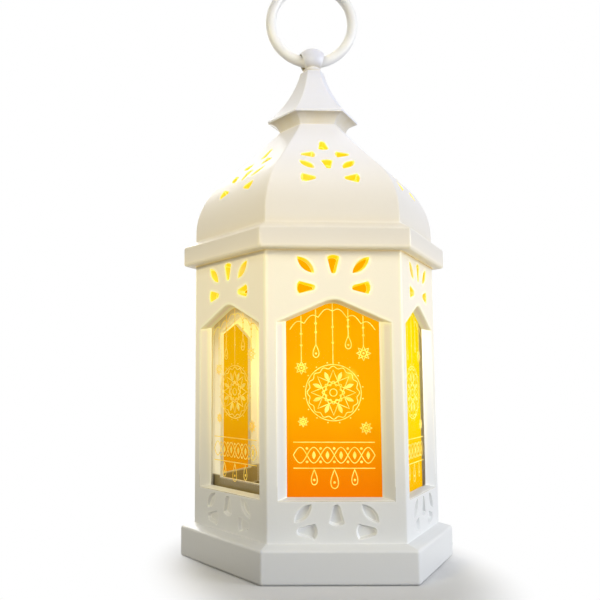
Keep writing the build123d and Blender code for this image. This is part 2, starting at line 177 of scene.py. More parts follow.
# Crevices: where near surfaces hide the sky, broken up by a noise
def makeCrevice():
    inputs = {"Vector": (0, 0, 0), "Reach": 0.004}
    tree, given, out = newGroup("creviceShade", inputs, ("Crevice",))
    samples = effects["creviceSamples"]
    hidden = put(tree, "AmbientOcclusion", {"Distance": given["Reach"]}, samples=samples)
    depth = calc(tree, "SUBTRACT", 1.0, hidden.outputs["AO"])
    speck = addNoise(tree, given["Vector"], effects["speckScale"], effects["broadDetail"])
    broken = remap(tree, speck, *effects["speck"])
    feed(tree, out["Crevice"], calc(tree, "MULTIPLY", depth, broken))
    return tree


# Lamp glow: a mask that rises with height from Low to Full and fades from Fade to Top
def makeGlow():
    inputs = {"Vector": (0, 0, 0), "Low": 0.010, "Full": 0.062, "Fade": 0.070, "Top": 0.080}
    tree, given, out = newGroup("lampGlow", inputs, ("Glow",))
    height = upPart(tree, given["Vector"])
    rise = remap(tree, height, given["Low"], given["Full"])
    fall = remap(tree, height, given["Fade"], given["Top"], 1.0, 0.0)
    feed(tree, out["Glow"], calc(tree, "MULTIPLY", rise, fall))
    return tree


# Masks from a face's direction and height, in metres. Inside: above Foot, where a face doesn't look
# away from the upright axis, as the walls of the petals and the inside do, or looks down inside a
# petal of the dome; the cornice, from Eaves to Dome, is left out. Frame: above Petals, where a face
# looks outward from nearer the axis than Recess, as the wall round a clear pane does; it fades out
# up to Shoulder. Low: those faces and the ones that look inward, below Sill
insideLevels = {
    "Foot": 0.0636,
    "Eaves": 0.0736,
    "Dome": 0.0826,
    "Sill": 0.0210,
    "Petals": 0.0165,
    "Recess": 0.0245,
    "Shoulder": 0.057,
}
insideRanges = {  # where a mask starts and where it is full
    "turned": (0.45, 0.25),  # cosine between a face and the way out
    "outward": (0.7, 0.8),
    "inward": (-0.7, -0.8),
    "down": (-0.05, -0.25),  # upright part of a face's normal
    "sill": (0.0, 0.0006),  # depth below Sill
    "shoulder": (0.0, 0.007),  # depth below Shoulder
}
corniceShift = 0.6  # added to the cosine of the cornice


def makeInside():
    inputs = {"Vector": (0, 0, 0), **insideLevels}
    tree, given, out = newGroup("insideFace", inputs, ("Inside", "Low", "Frame"))
    spread = {0: given["Vector"], 1: (1, 1, 0)}
    flat = put(tree, "VectorMath", spread, operation="MULTIPLY").outputs[0]
    outward = put(tree, "VectorMath", {0: flat}, operation="NORMALIZE").outputs[0]
    normal = put(tree, "NewGeometry").outputs["Normal"]
    height = upPart(tree, given["Vector"])
    facing = dotPart(tree, normal, outward)
    overEaves = calc(tree, "GREATER_THAN", height, given["Eaves"])
    underDome = calc(tree, "LESS_THAN", height, given["Dome"])
    cornice = calc(tree, "MULTIPLY", overEaves, underDome)
    shifted = calc(tree, "MULTIPLY_ADD", cornice, corniceShift, facing)
    turned = remap(tree, shifted, *insideRanges["turned"])
    down = remap(tree, upPart(tree, normal), *insideRanges["down"])
    hanging = calc(tree, "MULTIPLY", down, calc(tree, "GREATER_THAN", height, given["Dome"]))
    inner = calc(tree, "MAXIMUM", turned, hanging)
    high = calc(tree, "GREATER_THAN", height, given["Foot"])
    feed(tree, out["Inside"], calc(tree, "MULTIPLY", inner, high))
    belowSill = calc(tree, "SUBTRACT", given["Sill"], height)
    sunk = remap(tree, belowSill, *insideRanges["sill"])
    plane = dotPart(tree, normal, flat)
    recessed = calc(tree, "LESS_THAN", plane, given["Recess"])
    behind = calc(tree, "MULTIPLY", remap(tree, facing, *insideRanges["outward"]), recessed)
    behind = calc(tree, "MULTIPLY", behind, calc(tree, "GREATER_THAN", height, given["Petals"]))
    covered = calc(tree, "MAXIMUM", remap(tree, facing, *insideRanges["inward"]), behind)
    feed(tree, out["Low"], calc(tree, "MULTIPLY", covered, sunk))
    belowShoulder = calc(tree, "SUBTRACT", given["Shoulder"], height)
    under = remap(tree, belowShoulder, *insideRanges["shoulder"])
    feed(tree, out["Frame"], calc(tree, "MULTIPLY", behind, under))
    return tree


grainGroup, edgeGroup, creviceGroup, glowGroup = makeGrain(), makeEdge(), makeCrevice(), makeGlow()
insideGroup = makeInside()


def newMaterial(name):
    material = bpy.data.materials.new(name)
    material.use_nodes = True
    tree = material.node_tree
    tree.nodes.clear()
    shader = put(tree, "BsdfPrincipled")
    put(tree, "OutputMaterial", {"Surface": shader.outputs[0]})
    return material, tree, shader.inputs


def addBump(tree, shader, height, distance):
    bump = put(tree, "Bump", {"Height": height, "Distance": distance, "Strength": 1.0})
    feed(tree, shader["Normal"], bump.outputs[0])


def addGloss(tree, shader, clouds, look):
    gloss = calc(tree, "MULTIPLY_ADD", clouds, look["unevenGloss"], look["roughness"])
    feed(tree, shader["Roughness"], gloss)


def grainOf(tree, spot, look):
    scales = {"Grain": look["grain"], "Cloud": look["clouds"]}
    return place(tree, grainGroup, {"Vector": spot, **scales})


# White moulded plastic, with its base colour painted warmer where the lamp inside lights it
whitePlastic = {
    "cool": (0.82, 0.83, 0.84, 1),
    "warm": (0.85, 0.82, 0.73, 1),
    "cloud": (0.80, 0.79, 0.76, 1),
    # painted shade: an olive tint in crevices and under the cornice
    "crevice": (0.62, 0.50, 0.20, 1),
    # painted highlight: a lighter colour on the rounded edges
    "wornAndLitEdge": (0.97, 0.97, 0.96, 1),
    "through": (1.0, 0.76, 0.30, 1),  # light that comes through the wall
    "throughLevel": 0.16,
    "rim": (1.0, 0.80, 0.06, 1),  # light that comes through beside a petal
    "rimLevel": 0.30,
    "rimWidth": 0.0016,
    # painted light: the inside gets a dark yellow base, so that its painted glow shows and not the
    # lamps' white
    "inner": (0.14, 0.10, 0.005, 1),  # inside of the dome and petals, next to the lamp's light
    # painted shade: dark olive on the inside below the windows
    "paintedFootShade": (0.30, 0.22, 0.06, 1),  # inside, below the windows
    # painted light on the thin wall round a clear pane
    "frameGlow": (0.38, 0.33, 0.20, 1),  # thin wall round a clear pane
    # painted lamp light on the inside, deeper amber in crevices as painted shade
    "innerGlow": (0.90, 0.70, 0.0, 1),
    "innerGlowShade": (0.80, 0.46, 0.0, 1),
    "warmFade": 0.080,  # heights between which the warm colour ends
    "warmTop": 0.112,
    "clouding": 0.15,
    "roughness": 0.34,
    "unevenGloss": 0.08,
    "bending": 1.5,  # index of refraction
    "coat": 0.12,
    "coatRoughness": 0.18,
    "grainDepth": 0.000012,
    "edgeWidth": 0.0007,
    "wearAndHighlight": 0.6,
    "creviceReach": 0.003,
    "creviceTint": 0.8,
}
# The dome and finial are the same white, painted colder at the top where cool light falls, the dome
# a duller warm lower down, and the finial with stronger painted shade under its eave
domePlastic = {**whitePlastic, "cool": (0.84, 0.85, 0.97, 1), "warm": (0.79, 0.74, 0.67, 1)}
topPlastic = {**whitePlastic, "cool": (0.76, 0.77, 0.88, 1), "creviceReach": 0.010,
              "creviceTint": 1.8}
# The ring is the same white painted lighter, as painted light where the lamps leave it dim
ringPlastic = {**whitePlastic, "cool": (0.95, 0.94, 0.93, 1), "cloud": (0.92, 0.91, 0.90, 1)}


def makeWhite(name, look, glowing=True, hollow=True):
    material, tree, shader = newMaterial(name)
    spot = objectPlace(tree)
    grain = place(tree, grainGroup, {"Vector": spot})
    edge = place(tree, edgeGroup, {"Radius": look["edgeWidth"]})["Edge"]
    crevice = place(tree, creviceGroup, {"Vector": spot, "Reach": look["creviceReach"]})["Crevice"]
    colour = look["cool"]
    if glowing:
        glow = place(tree, glowGroup, {"Vector": spot})["Glow"]
        ends = {"Fade": look["warmFade"], "Top": look["warmTop"]}
        # Painted light: the base colour turns warm where the lamp inside lights the wall
        warmth = place(tree, glowGroup, {"Vector": spot, **ends})["Glow"]
        colour = mixColour(tree, warmth, look["cool"], look["warm"])
        # Painted shade: crevices take the olive tint, on hollow pieces only where the wall is warm
        shade = calc(tree, "MULTIPLY", crevice, warmth) if hollow else crevice
        tint = calc(tree, "MULTIPLY", shade, look["creviceTint"])
        colour = mixColour(tree, tint, colour, look["crevice"])
        lit = calc(tree, "MULTIPLY", glow, look["throughLevel"])
        light = mixColour(tree, lit, noLight, look["through"])
        if hollow:
            beside = place(tree, edgeGroup, {"Radius": look["rimWidth"]})["Edge"]
            rim = calc(tree, "MULTIPLY", calc(tree, "MULTIPLY", beside, glow), look["rimLevel"])
            light = mixColour(tree, rim, light, look["rim"])
            hidden = place(tree, insideGroup, {"Vector": spot})
            # Painted lamp light on the inside faces, deeper amber in crevices as painted shade
            deep = mixColour(tree, crevice, look["innerGlow"], look["innerGlowShade"])
            light = mixColour(tree, hidden["Inside"], light, deep)
            # Painted light on the thin wall round a clear pane
            light = mixColour(tree, hidden["Frame"], light, look["frameGlow"])
            # Painted shade: the inside below the windows has no glow and turns dark olive
            light = mixColour(tree, hidden["Low"], light, noLight)
            # The inside is painted a dark yellow, so that only its painted glow shows
            colour = mixColour(tree, hidden["Inside"], colour, look["inner"])
            colour = mixColour(tree, hidden["Low"], colour, look["paintedFootShade"])
        feed(tree, shader["Emission Color"], light)
        shader["Emission Strength"].default_value = 1.0
    cloudy = calc(tree, "MULTIPLY", grain["Clouds"], look["clouding"])
    colour = mixColour(tree, cloudy, colour, look["cloud"])
    # Painted highlight: the rounded edges are lighter
    wornAndLit = calc(tree, "MULTIPLY", edge, look["wearAndHighlight"])
    colour = mixColour(tree, wornAndLit, colour, look["wornAndLitEdge"])
    feed(tree, shader["Base Color"], colour)
    gloss = calc(tree, "MULTIPLY_ADD", grain["Clouds"], look["unevenGloss"], look["roughness"])
    feed(tree, shader["Roughness"], calc(tree, "MULTIPLY_ADD", edge, -look["unevenGloss"], gloss))
    shader["IOR"].default_value = look["bending"]
    shader["Coat Weight"].default_value = look["coat"]
    shader["Coat Roughness"].default_value = look["coatRoughness"]
    addBump(tree, shader, grain["Height"], look["grainDepth"])
    return material


# Clear acrylic pane: a see-through sheet that reflects more at a slant
clearPane = {
    "colour": (0.12, 0.12, 0.11, 1),
    "grain": 500.0,
    "clouds": 90.0,
    "haze": 0.004,
    "hazeSpread": 0.003,
    "slant": 0.018,
    "roughness": 0.05,
    "unevenGloss": 0.05,
    "bending": 1.49,  # index of refraction
}


def makePane():
    material, tree, shader = newMaterial("clearAcrylic")
    spot = objectPlace(tree)
    grain = grainOf(tree, spot, clearPane)
    slant = put(tree, "Fresnel", {"IOR": clearPane["bending"]}).outputs[0]
    veil = calc(tree, "MULTIPLY_ADD", grain["Clouds"], clearPane["hazeSpread"], clearPane["haze"])
    feed(tree, shader["Alpha"], calc(tree, "MULTIPLY_ADD", slant, clearPane["slant"], veil))
    addGloss(tree, shader, grain["Clouds"], clearPane)
    shader["Base Color"].default_value = clearPane["colour"]
    shader["IOR"].default_value = clearPane["bending"]
    return material


# Amber film lit from behind: its glow painted deeper at the foot and lighter at the top, where more
# of the lamp's light falls, and a bright spot of the lamp
amberFilm = {
    "foot": 0.016,
    "top": 0.042,
    "spotSize": 0.0022,
    "spotColour": (1.0, 0.75, 0.04, 1),
    "spotLevel": 0.9,
    "glow": 0.95,
    "unlit": (0.02, 0.01, 0.0, 1),
    "unlitShare": 0.85,
    "grain": 900.0,
    "clouds": 120.0,
    "clouding": 0.12,
    "roughness": 0.35,
    "unevenGloss": 0.1,
    "grainDepth": 0.00001,
}
filmColours = {
    "front": {"low": (0.88, 0.19, 0.0, 1), "high": (0.97, 0.42, 0.0, 1),
              "spot": (0.0042, -0.0241, 0.0455)},
    "front_right": {"low": (0.95, 0.50, 0.0, 1), "high": (0.96, 0.76, 0.0, 1), "spot": None},
    "back": {"low": (0.88, 0.19, 0.0, 1), "high": (0.97, 0.42, 0.0, 1), "spot": None},
    "back_left": {"low": (0.74, 0.25, 0.0, 1), "high": (0.75, 0.40, 0.0, 1), "spot": None},
}


def makeFilm(side):
    tone = filmColours[side]
    material, tree, shader = newMaterial("amberFilm_" + side)
    spot = objectPlace(tree)
    grain = grainOf(tree, spot, amberFilm)
    height = upPart(tree, spot)
    up = remap(tree, height, amberFilm["foot"], amberFilm["top"])
    colour = mixColour(tree, up, tone["low"], tone["high"])
    if tone["spot"]:
        away = put(tree, "VectorMath", {0: spot, 1: tone["spot"]}, operation="DISTANCE")
        ends = (0.0, amberFilm["spotSize"], amberFilm["spotLevel"], 0.0)
        near = remap(tree, away.outputs["Value"], *ends)
        colour = mixColour(tree, near, colour, amberFilm["spotColour"])
    cloudy = calc(tree, "MULTIPLY", grain["Clouds"], amberFilm["clouding"])
    colour = mixColour(tree, cloudy, colour, tone["low"])
    # The walls get their light from the lamps alone
    unlit = put(tree, "LightPath").outputs["Is Diffuse Ray"]
    feed(tree, shader["Emission Color"], mixColour(tree, unlit, colour, noLight))
    shader["Emission Strength"].default_value = amberFilm["glow"]
    material.cycles.emission_sampling = "NONE"
    dull = mixColour(tree, amberFilm["unlitShare"], colour, amberFilm["unlit"])
    feed(tree, shader["Base Color"], dull)
    shader["Specular IOR Level"].default_value = 0.0
    addGloss(tree, shader, grain["Clouds"], amberFilm)
    addBump(tree, shader, grain["Height"], amberFilm["grainDepth"])
    return material


# Yellow ink, a little thinner in places
paneInk = {
    "full": (1.0, 0.78, 0.16, 1),
    "thin": (0.95, 0.60, 0.06, 1),
    "glow": 0.50,  # in front of a film
    "clearGlow": 0.22,  # on a clear pane
    "grain": 3000.0,
    "clouds": 400.0,
    "roughness": 0.4,
    "unevenGloss": 0.15,
}


def makeInk(name, glow):
    material, tree, shader = newMaterial(name)
    spot = objectPlace(tree)
    grain = grainOf(tree, spot, paneInk)
    colour = mixColour(tree, grain["Clouds"], paneInk["full"], paneInk["thin"])
    feed(tree, shader["Base Color"], colour)
    feed(tree, shader["Emission Color"], colour)
    shader["Emission Strength"].default_value = glow
    addGloss(tree, shader, grain["Clouds"], paneInk)
    return material


# Metals: colour, lighter colour of the worn edge, roughness and scale of the drawn grain
metals = {
    "screwSteel": {"colour": (0.42, 0.42, 0.43, 1), "wornAndLitEdge": (0.70, 0.70, 0.70, 1),
                   "roughness": 0.30, "grain": 1500.0},
    "cellSteel": {"colour": (0.55, 0.55, 0.54, 1), "wornAndLitEdge": (0.72, 0.72, 0.72, 1),
                  "roughness": 0.22, "grain": 2500.0},
    "contactMetal": {"colour": (0.62, 0.55, 0.38, 1), "wornAndLitEdge": (0.78, 0.72, 0.55, 1),
                     "roughness": 0.28, "grain": 2000.0},
    "switchSteel": {"colour": (0.48, 0.48, 0.49, 1), "wornAndLitEdge": (0.70, 0.70, 0.70, 1),
                    "roughness": 0.33, "grain": 1800.0},
}
allMetals = {
    "stretch": (1.0, 0.12, 1.0),
    "clouds": 250.0,
    "edgeWidth": 0.0002,
    "creviceReach": 0.0015,
    "creviceDark": (0.10, 0.09, 0.08, 1),
    "unevenGloss": 0.12,
    "grainDepth": 0.000006,
}


def makeMetal(name):
    look = {**allMetals, **metals[name]}
    material, tree, shader = newMaterial(name)
    spot = objectPlace(tree)
    drawn = put(tree, "Mapping", {"Vector": spot, "Scale": look["stretch"]}).outputs[0]
    grain = grainOf(tree, drawn, look)
    edge = place(tree, edgeGroup, {"Radius": look["edgeWidth"]})["Edge"]
    crevice = place(tree, creviceGroup, {"Vector": spot, "Reach": look["creviceReach"]})["Crevice"]
    colour = mixColour(tree, edge, look["colour"], look["wornAndLitEdge"])
    # The metal turns darker in crevices
    feed(tree, shader["Base Color"], mixColour(tree, crevice, colour, look["creviceDark"]))
    addGloss(tree, shader, grain["Clouds"], look)
    shader["Metallic"].default_value = 1.0
    addBump(tree, shader, grain["Height"], look["grainDepth"])
    return material


# Small plain plastics and lacquers: colour, its lighter edge and roughness
lacquers = {
    "blackPlastic": {"colour": (0.016, 0.016, 0.017, 1), "wornAndLitEdge": (0.09, 0.09, 0.09, 1),
                     "roughness": 0.42},
    "leadRed": {"colour": (0.42, 0.020, 0.016, 1), "wornAndLitEdge": (0.55, 0.06, 0.05, 1),
                "roughness": 0.38},
    "leadBlack": {"colour": (0.014, 0.014, 0.015, 1), "wornAndLitEdge": (0.06, 0.06, 0.06, 1),
                  "roughness": 0.40},
    "chipCeramic": {"colour": (0.03, 0.03, 0.035, 1), "wornAndLitEdge": (0.40, 0.40, 0.40, 1),
                    "roughness": 0.45},
    "boardLaminate": {"colour": (0.030, 0.16, 0.060, 1), "wornAndLitEdge": (0.35, 0.36, 0.20, 1),
                      "roughness": 0.35},
}
allLacquers = {
    "grain": 2600.0,
    "clouds": 300.0,
    "edgeWidth": 0.00025,
    "wearAndHighlight": 0.6,
    "creviceReach": 0.0015,
    "dust": (0.35, 0.33, 0.30, 1),
    "dusting": 0.15,
    "unevenGloss": 0.15,
    "grainDepth": 0.00001,
}


def makeLacquer(name):
    look = {**allLacquers, **lacquers[name]}
    material, tree, shader = newMaterial(name)
    spot = objectPlace(tree)
    grain = grainOf(tree, spot, look)
    edge = place(tree, edgeGroup, {"Radius": look["edgeWidth"]})["Edge"]
    crevice = place(tree, creviceGroup, {"Vector": spot, "Reach": look["creviceReach"]})["Crevice"]
    wornAndLit = calc(tree, "MULTIPLY", edge, look["wearAndHighlight"])
    colour = mixColour(tree, wornAndLit, look["colour"], look["wornAndLitEdge"])
    dusty = calc(tree, "MULTIPLY", crevice, look["dusting"])
    feed(tree, shader["Base Color"], mixColour(tree, dusty, colour, look["dust"]))
    addGloss(tree, shader, grain["Clouds"], look)
    addBump(tree, shader, grain["Height"], look["grainDepth"])
    return material


# Lamp resin, brightest towards its round end
lampResin = {
    "dim": (0.75, 0.55, 0.20, 1),
    "bright": (1.0, 0.88, 0.45, 1),
    "collar": 0.0096,
    "tip": 0.0168,
    "glow": 0.8,
    "roughness": 0.12,
    "unevenGloss": 0.05,
}


def makeResin():
    material, tree, shader = newMaterial("lampResin")
    spot = objectPlace(tree)
    height = upPart(tree, spot)
    up = remap(tree, height, lampResin["collar"], lampResin["tip"])
    colour = mixColour(tree, up, lampResin["dim"], lampResin["bright"])
    grain = place(tree, grainGroup, {"Vector": spot})
    feed(tree, shader["Base Color"], colour)
    feed(tree, shader["Emission Color"], colour)
    shader["Emission Strength"].default_value = lampResin["glow"]
    addGloss(tree, shader, grain["Clouds"], lampResin)
    return material


def dress(material, *names):
    for name in names:
        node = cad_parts[name]
        if not node.material_slots:
            node.data.materials.append(material)
        for slot in node.material_slots:
            slot.material = material


def dressAll():
    panes = [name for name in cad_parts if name.startswith("window_pane_")]
    dress(makeWhite("whitePlastic", whitePlastic), "lantern_body", "base_plinth")
    dress(makeWhite("domePlastic", domePlastic), "dome_roof")
    dress(makeWhite("topPlastic", topPlastic, hollow=False), "finial_cap")
    dress(makeWhite("ringPlastic", ringPlastic, glowing=False), "hanging_ring")
    dress(makeWhite("coverPlastic", whitePlastic, glowing=False), "bottom_cover", "battery_door")
    dress(makePane(), *panes)
    for side in filmColours:
        dress(makeFilm(side), "amber_film_" + side)
    dress(makeMetal("screwSteel"), "finial_screw", "cover_screws")
    dress(makeMetal("cellSteel"), "coin_cell")
    dress(makeMetal("contactMetal"), "cell_contact_top", "cell_contact_side")
    dress(makeMetal("switchSteel"), "switch_housing")
    dress(makeLacquer("blackPlastic"), "switch_knob")
    dress(makeLacquer("leadRed"), "switch_lead_red")
    dress(makeLacquer("leadBlack"), "switch_lead_black")
    dress(makeLacquer("chipCeramic"), "resistor")
    dress(makeLacquer("boardLaminate"), "circuit_board")
    dress(makeResin(), "led_lamp")
    print("finishes placed on", len(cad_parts), "pieces")


# Line print on the panes, in millimetres across and up, inside the visible window
panePrint = {
    "half": 10.8,
    "shoulder": 57.9,
    "apex": 62.6,
    "line": 0.10,  # half the width of a line
    "thinnest": 0.03,  # half the width of a leaf or bead at its ends
    "proud": 0.036,
    "sunk": 0.004,
    "scallop": (1.2, 1.1, 3.3),  # gap, depth and pitch of the line under the head
    "scallopMargin": 0.9,
    "medal": (0.0, 41.6, 6.4),  # centre and radius of the medallion
    "stars": ((-7.3, 47.2, 1.5), (7.1, 50.6, 1.7), (-7.0, 35.0, 1.2), (7.4, 33.6, 1.4)),
    "starBead": 0.26,
    "strings": ((-7.3, 48.7), (0.0, 48.0), (7.1, 52.3), (-3.9, 52.6), (3.6, 54.6)),
    "band": (24.6, 30.4),
    "bandHalf": 9.3,
    "wave": 6.2,
    "drops": ((-4.6, 24.6, 3.4, 1.5), (0.0, 24.6, 4.2, 1.9), (4.6, 24.6, 3.4, 1.5)),
}
medalPrint = {  # lengths as parts of the radius, widths of leaves and beads in millimetres
    "rim": 0.90,
    "rimSwell": 0.045,
    "rimLobes": 16,
    "star": 0.80,
    "heart": 0.33,
    "heartSwell": 0.22,
    "heartLobes": 8,
    "eye": 0.13,
    "eyeSamples": 24,
    "leaves": 8,
    "leafStart": 0.46,
    "leafLength": 0.33,
    "leafWidth": 0.9,
    "beads": 16,
    "beadStart": 1.08,
    "beadSize": 0.16,
}
stringPrint = {
    "gap": 0.2,  # under the head
    "beadParts": (0.35, 0.6),  # parts of the string's length
    "beadSize": 0.30,
    "plain": 3,  # this many strings come first and have no drop
    "dropLength": 3.0,
    "dropWidth": 1.5,
    "dropBead": 2.1,
    "dropBeadSize": 0.25,
}
bandPrint = {
    "vine": 1.75,
    "leafLength": 1.8,
    "leafWidth": 0.8,
    "leafMargin": 0.8,
    "beadRise": 1.5,
    "beadSize": 0.3,
    "beadMargin": 0.3,
    "dropGap": 0.3,
    "dropBead": 0.68,  # part of the drop's length
    "dropBeadSize": 0.28,
}
sides = {  # which way each window looks, in degrees
    "front": 270,
    "front_right": 330,
    "back_right": 30,
    "back": 90,
    "back_left": 150,
    "front_left": 210,
}


def evenWidth(path):
    return np.full(len(path), panePrint["line"])


# Straight line between two points
def lineStroke(start, end):
    path = np.linspace(start, end, 2)
    return path, evenWidth(path), False


# Circle: radius turned once round its centre
def ringStroke(x, z, radius, count=72):
    turn = np.linspace(0, 2 * np.pi, count, endpoint=False)
    path = np.stack([x + radius * np.cos(turn), z + radius * np.sin(turn)], 1)
    return path, evenWidth(path), True


# Star: every third of eight points on a circle joined by straight runs, six samples each
def starStroke(x, z, radius, skip=3, tips=8, samples=6):
    turn = np.arange(tips + 1) * skip * 2 * np.pi / tips + np.pi / 2
    corner = np.stack([x + radius * np.cos(turn), z + radius * np.sin(turn)], 1)
    part = (np.arange(samples) / samples)[None, :, None]
    path = (corner[:-1, None] * (1 - part) + corner[1:, None] * part).reshape(-1, 2)
    return path, evenWidth(path), True


# Lobed ring: a circle whose radius swells and sinks with the cosine of a multiple of the turn
def lobeStroke(x, z, radius, swell, lobes, count=160):
    turn = np.linspace(0, 2 * np.pi, count, endpoint=False)
    reach = radius * (1 + swell * np.cos(lobes * (turn - np.pi / 2)))
    path = np.stack([x + reach * np.cos(turn), z + reach * np.sin(turn)], 1)
    return path, evenWidth(path), True


# Drop outline: down by half a cosine, out by a sine that narrows towards the top
def dropStroke(x, top, length, width, narrowing=1.3, fullness=1.25, count=56):
    turn = np.linspace(0, 2 * np.pi, count, endpoint=False)
    out = width / 2 * np.sin(turn) * np.sin(turn / 2) ** narrowing * fullness
    path = np.stack([x + out, top - length * (1 - np.cos(turn)) / 2], 1)
    return path, evenWidth(path), True


# Filled leaf: a straight run whose half width follows a power of a sine
def leafStroke(x, z, angle, length, width, power=0.9, count=12):
    along = np.linspace(0, 1, count)
    path = np.stack([x + np.cos(angle) * length * along, z + np.sin(angle) * length * along], 1)
    half = width / 2 * np.sin(np.pi * along) ** power
    return path, np.maximum(half, panePrint["thinnest"]), False


# Filled bead: a short upright run whose half width follows half a circle
def beadStroke(x, z, radius, count=13):
    along = np.linspace(-1, 1, count)
    path = np.stack([np.full(count, x), z + radius * along], 1)
    half = radius * np.sqrt(1 - along ** 2)
    return path, np.maximum(half, panePrint["thinnest"]), False


# Vine: a sine wave along the band
def vineStroke(level, height, phase, count=120):
    across = np.linspace(-panePrint["bandHalf"], panePrint["bandHalf"], count)
    turn = 2 * np.pi * across / panePrint["wave"] + phase
    path = np.stack([across, level + height * np.sin(turn)], 1)
    return path, evenWidth(path), False


# Height of the window's head over a place across
def headHeight(across):
    slope = (panePrint["apex"] - panePrint["shoulder"]) / panePrint["half"]
    return panePrint["apex"] - slope * np.abs(across)


# Scalloped line under the head: the head lowered by the size of a sine, so that its cusps hang down
def scallopStroke(gap, depth, pitch, count=181):
    reach = panePrint["half"] - panePrint["scallopMargin"]
    across = np.linspace(-reach, reach, count)
    level = headHeight(across) - gap - depth * (1 - np.abs(np.sin(np.pi * across / pitch)))
    path = np.stack([across, level], 1)
    return path, evenWidth(path), False


# Places spread evenly round a circle, half a step past its right end, with their turns
def around(x, z, radius, count):
    turns = (np.arange(count) + 0.5) * 2 * np.pi / count
    return [(x + radius * np.cos(turn), z + radius * np.sin(turn), turn) for turn in turns]


def drawMedal():
    x, z, radius = panePrint["medal"]
    look = medalPrint
    strokes = [ringStroke(x, z, radius)]
    strokes.append(lobeStroke(x, z, radius * look["rim"], look["rimSwell"], look["rimLobes"]))
    strokes.append(starStroke(x, z, radius * look["star"]))
    strokes.append(lobeStroke(x, z, radius * look["heart"], look["heartSwell"], look["heartLobes"]))
    strokes.append(ringStroke(x, z, radius * look["eye"], look["eyeSamples"]))
    for leafX, leafZ, turn in around(x, z, radius * look["leafStart"], look["leaves"]):
        length = radius * look["leafLength"]
        strokes.append(leafStroke(leafX, leafZ, turn, length, look["leafWidth"]))
    for beadX, beadZ, turn in around(x, z, radius * look["beadStart"], look["beads"]):
        strokes.append(beadStroke(beadX, beadZ, look["beadSize"]))
    return strokes


def drawStrings():
    look = stringPrint
    strokes = []
    for x, foot in panePrint["strings"]:
        top = float(headHeight(x)) - look["gap"]
        strokes.append(lineStroke((x, top), (x, foot)))
        for part in look["beadParts"]:
            strokes.append(beadStroke(x, foot + (top - foot) * part, look["beadSize"]))
    for x, foot in panePrint["strings"][look["plain"]:]:
        strokes.append(dropStroke(x, foot, look["dropLength"], look["dropWidth"]))
        strokes.append(beadStroke(x, foot - look["dropBead"], look["dropBeadSize"]))
    return strokes


def drawStars():
    strokes = []
    for x, z, radius in panePrint["stars"]:
        strokes += [starStroke(x, z, radius), beadStroke(x, z, panePrint["starBead"])]
    return strokes


def drawBand():
    look = bandPrint
    low, high = panePrint["band"]
    reach, wave = panePrint["bandHalf"], panePrint["wave"]
    middle = (low + high) / 2
    strokes = [lineStroke((-reach, level), (reach, level)) for level in (low, high)]
    strokes += [vineStroke(middle, look["vine"], phase) for phase in (0.0, np.pi)]
    for x in np.arange(-2, 3) * wave / 2 + wave / 4:
        if abs(x) < reach - look["leafMargin"]:
            foot = middle - look["leafLength"] / 2
            strokes.append(leafStroke(x, foot, np.pi / 2, look["leafLength"], look["leafWidth"]))
    for x in np.arange(-3, 4) * wave / 2:
        if abs(x) < reach - look["beadMargin"]:
            strokes.append(beadStroke(x, middle + look["beadRise"], look["beadSize"]))
            strokes.append(beadStroke(x, middle - look["beadRise"], look["beadSize"]))
    for x, top, length, width in panePrint["drops"]:
        start = top - look["dropGap"]
        strokes.append(dropStroke(x, start, length, width))
        strokes.append(beadStroke(x, start - look["dropBead"] * length, look["dropBeadSize"]))
    return strokes


# Flat strip with a thin rectangular section carried along a path: four corners at each point,
# set off along the path's normal by the half width and out of the pane by the ink's thickness
def stripMesh(path, half, closed):
    if closed:
        ahead, behind = np.roll(path, -1, 0), np.roll(path, 1, 0)
    else:
        ahead = np.vstack([path[1:], path[-1:]])
        behind = np.vstack([path[:1], path[:-1]])
    along = ahead - behind
    along /= np.linalg.norm(along, axis=1, keepdims=True)
    side = np.stack([-along[:, 1], along[:, 0]], 1) * half[:, None]
    back, front = -panePrint["sunk"], panePrint["proud"]
    corners = [(1, back), (1, front), (-1, front), (-1, back)]
    count = len(path)
    rows = [np.column_stack([path + sign * side, np.full(count, depth)]) for sign, depth in corners]
    points = np.stack(rows, 1).reshape(-1, 3)
    row = np.arange(count if closed else count - 1)[:, None]
    corner = np.arange(4)[None, :]
    here, there = row * 4, (row + 1) % count * 4
    after = (corner + 1) % 4
    faces = np.stack([here + corner, there + corner, there + after, here + after], -1)
    faces = faces.reshape(-1, 4)
    if not closed:
        ends = np.array([[0, 1, 2, 3], [-1, -2, -3, -4]]) % (4 * count)
        faces = np.vstack([faces, ends])
    return points, faces


def addPrints():
    strokes = [scallopStroke(*panePrint["scallop"])]
    strokes += drawMedal() + drawStrings() + drawStars() + drawBand()
    meshes = [stripMesh(*stroke) for stroke in strokes]
    starts = np.cumsum([0] + [len(points) for points, faces in meshes[:-1]])
    drawn = np.vstack([points for points, faces in meshes])
    faces = np.vstack([faces + start for (points, faces), start in zip(meshes, starts)])
    outer = -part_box("window_pane_front")[0].y
    filmInk = makeInk("filmInk", paneInk["glow"])
    clearInk = makeInk("clearInk", paneInk["clearGlow"])
    for side, angle in sides.items():
        turn = math.radians(angle)
        out = np.array([math.cos(turn), math.sin(turn), 0.0])
        across = np.array([-math.sin(turn), math.cos(turn), 0.0])
        up = np.array([0.0, 0.0, 1.0])
        flat = drawn[:, :1] * mm * across + drawn[:, 1:2] * mm * up
        places = flat + (outer + drawn[:, 2:] * mm) * out
        mesh = bpy.data.meshes.new("pane_print_" + side)
        mesh.from_pydata(places.tolist(), [], faces.tolist())
        mesh.materials.append(filmInk if side in filmColours else clearInk)
        mesh.update()
        piece = addPiece("pane_print_" + side, mesh)
        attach(piece, "lantern")
    print("prints:", len(strokes), "strokes,", len(faces), "faces on each pane")


